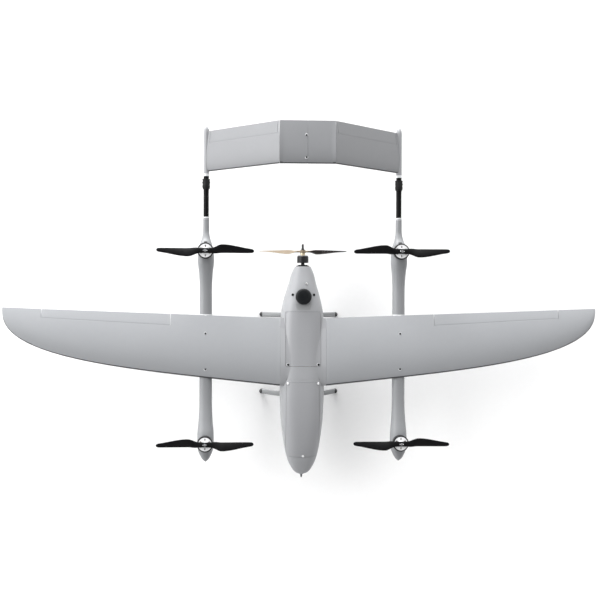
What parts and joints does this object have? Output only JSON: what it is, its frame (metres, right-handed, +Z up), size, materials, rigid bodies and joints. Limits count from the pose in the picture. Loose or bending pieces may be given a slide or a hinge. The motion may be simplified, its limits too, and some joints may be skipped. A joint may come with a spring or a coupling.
{
  "type": "fixed wing vertical take-off drone",
  "caption": "Twin-boom fixed wing drone with lift motors on the booms, a rear pusher propeller, a bridged inverted-V tail, lift-off hatches and sprung bow landing gear.",
  "frame": {"origin": "on the ground, midway between the wing tips and, within 10 mm, midway between the pitot tip and the rear ends of the tail booms", "axes": "+X to the right wing tip, +Y aft from nose to tail, +Z up"},
  "size_m": [3.2, 1.92, 0.6694],
  "materials": {
    "shell": "satin",
    "carbon": "satin",
    "motor_metal": "satin",
    "black_metal": "satin",
    "steel": "satin",
    "black_plastic": "matte",
    "rubber": "matte",
    "gear": "satin",
    "plywood": "matte",
    "battery": "satin",
    "wood": "satin"
  },
  "bodies": {
    "airframe": {"fuselage_shell": "shell", "equipment_tray": "plywood", "battery_pack": "battery", "autopilot": "black_plastic", "wing_spar": "carbon", "gnss_dome": "black_plastic", "pitot_tube": "motor_metal", "pusher_mount": "black_metal", "pusher_stator": "motor_metal", "tail_center": "shell", "wing_right": "shell", "aileron_servo_right": "black_plastic", "boom_right": "shell", "tail_tube_right": "carbon", "tube_coupling_right": "black_plastic", "boom_tip_right": "shell", "tail_panel_right": "shell", "ruddervator_servo_right": "black_plastic", "lift_front_right_stator": "motor_metal", "lift_rear_right_stator": "motor_metal", "wing_left": "shell", "aileron_servo_left": "black_plastic", "boom_left": "shell", "tail_tube_left": "carbon", "tube_coupling_left": "black_plastic", "boom_tip_left": "shell", "tail_panel_left": "shell", "ruddervator_servo_left": "black_plastic", "lift_front_left_stator": "motor_metal", "lift_rear_left_stator": "motor_metal", "front_gear_bow": "gear", "front_foot_right": "rubber", "front_foot_left": "rubber", "rear_gear_bow": "gear", "rear_foot_right": "rubber", "rear_foot_left": "rubber"},
    "aileron_right": {"aileron_right": "shell"},
    "aileron_servo_arm_right": {"aileron_servo_arm_right": "black_plastic"},
    "aileron_pushrod_right": {"aileron_pushrod_right": "steel"},
    "ruddervator_right": {"ruddervator_right": "shell"},
    "ruddervator_servo_arm_right": {"ruddervator_servo_arm_right": "black_plastic"},
    "ruddervator_pushrod_right": {"ruddervator_pushrod_right": "steel"},
    "lift_front_right_rotor": {"lift_front_right_bell": "motor_metal", "lift_front_right_propeller": "carbon"},
    "lift_rear_right_rotor": {"lift_rear_right_bell": "motor_metal", "lift_rear_right_propeller": "carbon"},
    "aileron_left": {"aileron_left": "shell"},
    "aileron_servo_arm_left": {"aileron_servo_arm_left": "black_plastic"},
    "aileron_pushrod_left": {"aileron_pushrod_left": "steel"},
    "ruddervator_left": {"ruddervator_left": "shell"},
    "ruddervator_servo_arm_left": {"ruddervator_servo_arm_left": "black_plastic"},
    "ruddervator_pushrod_left": {"ruddervator_pushrod_left": "steel"},
    "lift_front_left_rotor": {"lift_front_left_bell": "motor_metal", "lift_front_left_propeller": "carbon"},
    "lift_rear_left_rotor": {"lift_rear_left_bell": "motor_metal", "lift_rear_left_propeller": "carbon"},
    "pusher_rotor": {"pusher_bell": "black_metal", "pusher_propeller": "wood"},
    "front_hatch": {"front_hatch": "shell"},
    "rear_hatch": {"rear_hatch": "shell"}
  },
  "joints": [
    {"name": "aileron_right_hinge", "type": "hinge", "parent": "airframe", "child": "aileron_right", "pos_m": [0.711, -0.12428, 0.37179], "axis": [0.9984, 0.0565, -0.0022], "range_deg": [-25, 25]},
    {"name": "aileron_servo_right", "type": "hinge", "parent": "airframe", "child": "aileron_servo_arm_right", "pos_m": [0.8312, -0.19604, 0.35415], "axis": [1, 0, 0], "range_deg": [-25, 25]},
    {"name": "aileron_pushrod_right_pivot", "type": "hinge", "parent": "aileron_servo_arm_right", "child": "aileron_pushrod_right", "pos_m": [0.8312, -0.19604, 0.33815], "axis": [1, 0, 0], "range_deg": [-25, 25]},
    {"name": "ruddervator_right_hinge", "type": "hinge", "parent": "airframe", "child": "ruddervator_right", "pos_m": [0.143, 0.856, 0.655], "axis": [0.7608, 0, -0.649], "range_deg": [-25, 25]},
    {"name": "ruddervator_servo_right", "type": "hinge", "parent": "airframe", "child": "ruddervator_servo_arm_right", "pos_m": [0.33507, 0.80125, 0.46998], "axis": [0.7608, 0, -0.649], "range_deg": [-25, 25]},
    {"name": "ruddervator_pushrod_right_pivot", "type": "hinge", "parent": "ruddervator_servo_arm_right", "child": "ruddervator_pushrod_right", "pos_m": [0.32469, 0.80125, 0.45781], "axis": [0.7608, 0, -0.649], "range_deg": [-25, 25]},
    {"name": "lift_front_right_spin", "type": "hinge", "parent": "airframe", "child": "lift_front_right_rotor", "pos_m": [0.524, -0.758, 0.4], "axis": [0, 0, 1], "continuous": true},
    {"name": "lift_rear_right_spin", "type": "hinge", "parent": "airframe", "child": "lift_rear_right_rotor", "pos_m": [0.524, 0.271, 0.4], "axis": [0, 0, 1], "continuous": true},
    {"name": "aileron_left_hinge", "type": "hinge", "parent": "airframe", "child": "aileron_left", "pos_m": [-0.711, -0.12428, 0.37179], "axis": [0.9984, -0.0565, 0.0022], "range_deg": [-25, 25]},
    {"name": "aileron_servo_left", "type": "hinge", "parent": "airframe", "child": "aileron_servo_arm_left", "pos_m": [-0.8312, -0.19604, 0.35415], "axis": [1, 0, 0], "range_deg": [-25, 25]},
    {"name": "aileron_pushrod_left_pivot", "type": "hinge", "parent": "aileron_servo_arm_left", "child": "aileron_pushrod_left", "pos_m": [-0.8312, -0.19604, 0.33815], "axis": [1, 0, 0], "range_deg": [-25, 25]},
    {"name": "ruddervator_left_hinge", "type": "hinge", "parent": "airframe", "child": "ruddervator_left", "pos_m": [-0.143, 0.856, 0.655], "axis": [0.7608, 0, 0.649], "range_deg": [-25, 25]},
    {"name": "ruddervator_servo_left", "type": "hinge", "parent": "airframe", "child": "ruddervator_servo_arm_left", "pos_m": [-0.33507, 0.80125, 0.46998], "axis": [0.7608, 0, 0.649], "range_deg": [-25, 25]},
    {"name": "ruddervator_pushrod_left_pivot", "type": "hinge", "parent": "ruddervator_servo_arm_left", "child": "ruddervator_pushrod_left", "pos_m": [-0.32469, 0.80125, 0.45781], "axis": [0.7608, 0, 0.649], "range_deg": [-25, 25]},
    {"name": "lift_front_left_spin", "type": "hinge", "parent": "airframe", "child": "lift_front_left_rotor", "pos_m": [-0.524, -0.758, 0.4], "axis": [0, 0, 1], "continuous": true},
    {"name": "lift_rear_left_spin", "type": "hinge", "parent": "airframe", "child": "lift_rear_left_rotor", "pos_m": [-0.524, 0.271, 0.4], "axis": [0, 0, 1], "continuous": true},
    {"name": "pusher_spin", "type": "hinge", "parent": "airframe", "child": "pusher_rotor", "pos_m": [0, 0.22, 0.328], "axis": [0, 1, 0], "continuous": true},
    {"name": "front_hatch_lift", "type": "slide", "parent": "airframe", "child": "front_hatch", "axis": [0, 0, 1], "range_m": [0, 0.12]},
    {"name": "rear_hatch_lift", "type": "slide", "parent": "airframe", "child": "rear_hatch", "axis": [0, 0, 1], "range_m": [0, 0.12]}
  ],
  "couplings": [
    {"joint": "aileron_servo_right", "follows": "aileron_right_hinge", "ratio": 1},
    {"joint": "aileron_pushrod_right_pivot", "follows": "aileron_right_hinge", "ratio": -1},
    {"joint": "ruddervator_servo_right", "follows": "ruddervator_right_hinge", "ratio": 1},
    {"joint": "ruddervator_pushrod_right_pivot", "follows": "ruddervator_right_hinge", "ratio": -1},
    {"joint": "aileron_servo_left", "follows": "aileron_left_hinge", "ratio": 1},
    {"joint": "aileron_pushrod_left_pivot", "follows": "aileron_left_hinge", "ratio": -1},
    {"joint": "ruddervator_servo_left", "follows": "ruddervator_left_hinge", "ratio": 1},
    {"joint": "ruddervator_pushrod_left_pivot", "follows": "ruddervator_left_hinge", "ratio": -1}
  ]
}
